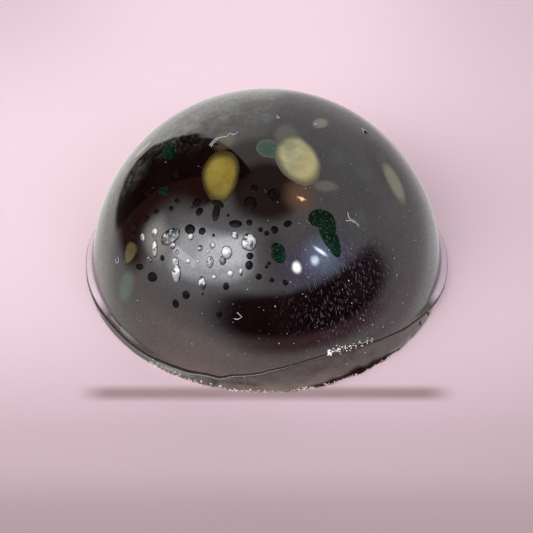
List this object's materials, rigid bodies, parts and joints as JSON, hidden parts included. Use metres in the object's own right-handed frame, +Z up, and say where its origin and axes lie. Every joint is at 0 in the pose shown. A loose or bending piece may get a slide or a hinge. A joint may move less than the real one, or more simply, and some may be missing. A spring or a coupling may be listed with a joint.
{
  "type": "chocolate praline",
  "caption": "Half-sphere moulded chocolate praline, glossy dark dome with a thin flange low down at its sides, closed underneath by a flat poured base plate.",
  "frame": {"origin": "middle of the flat resting face, under the crown of the dome", "axes": "+Z up through the crown, -Y towards the front, +X to the right"},
  "size_m": [0.0299, 0.0295, 0.0144],
  "materials": {
    "shell_chocolate": "high gloss",
    "plate_chocolate": "semi gloss"
  },
  "bodies": {
    "root": {"dome_shell": "shell_chocolate", "base_plate": "plate_chocolate"}
  },
  "joints": []
}
